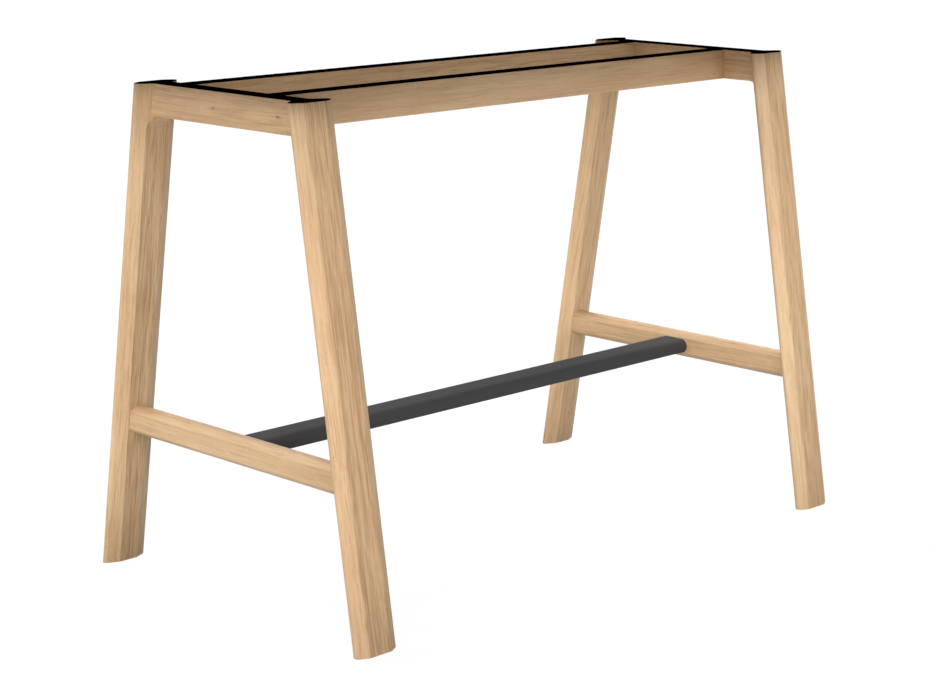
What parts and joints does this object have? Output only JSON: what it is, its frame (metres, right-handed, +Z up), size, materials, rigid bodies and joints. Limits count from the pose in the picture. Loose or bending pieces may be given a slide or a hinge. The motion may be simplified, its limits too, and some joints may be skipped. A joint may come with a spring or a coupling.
{
  "type": "table frame",
  "caption": "Bar-height oak table frame with splayed hexagonal legs, curved end-rail corners, slim long rails and an oval footrest bar between low stretchers.",
  "frame": {"origin": "on the floor, below the centre of the frame's plan", "axes": "+X along the long rails and the footrest, +Y across the frame towards the rear long rail, +Z up"},
  "size_m": [1.4748, 0.846, 1.0425],
  "materials": {
    "oak": "matt oiled, light natural oak with grain along each piece",
    "beech": "plain, unfinished",
    "charcoal_coat": "matt charcoal powder coat",
    "zinc_steel": "zinc plated",
    "black_steel": "satin black",
    "plug_nylon": "matt black",
    "glide_nylon": "matt black",
    "black_liner": "matt black"
  },
  "bodies": {
    "root": {"leg_front_left": "oak", "leg_front_right": "oak", "leg_rear_left": "oak", "leg_rear_right": "oak", "end_rail_left": "oak", "end_rail_right": "oak", "long_rail_front": "oak", "long_rail_rear": "oak", "stretcher_left": "oak", "stretcher_right": "oak", "footrest": "charcoal_coat", "footrest_plug_left": "plug_nylon", "footrest_plug_right": "plug_nylon", "plug_screw_left_front": "zinc_steel", "plug_screw_left_rear": "zinc_steel", "plug_screw_right_front": "zinc_steel", "plug_screw_right_rear": "zinc_steel", "lock_screw_left": "black_steel", "lock_screw_right": "black_steel", "hanger_bolt_front_left": "zinc_steel", "hanger_bolt_front_right": "zinc_steel", "hanger_bolt_rear_left": "zinc_steel", "hanger_bolt_rear_right": "zinc_steel", "half_moon_washer_front_left": "zinc_steel", "half_moon_washer_front_right": "zinc_steel", "half_moon_washer_rear_left": "zinc_steel", "half_moon_washer_rear_right": "zinc_steel", "nut_front_left": "zinc_steel", "nut_front_right": "zinc_steel", "nut_rear_left": "zinc_steel", "nut_rear_right": "zinc_steel", "dowel_front_left_lower": "beech", "dowel_front_left_upper": "beech", "dowel_front_right_lower": "beech", "dowel_front_right_upper": "beech", "dowel_rear_left_lower": "beech", "dowel_rear_left_upper": "beech", "dowel_rear_right_lower": "beech", "dowel_rear_right_upper": "beech", "glide_front_left": "glide_nylon", "glide_front_right": "glide_nylon", "glide_rear_left": "glide_nylon", "glide_rear_right": "glide_nylon", "top_liner_leg_front_left": "black_liner", "top_liner_leg_front_right": "black_liner", "top_liner_leg_rear_left": "black_liner", "top_liner_leg_rear_right": "black_liner", "top_liner_end_rail_left": "black_liner", "top_liner_end_rail_right": "black_liner", "top_liner_long_rail_front": "black_liner", "top_liner_long_rail_rear": "black_liner"}
  },
  "joints": []
}
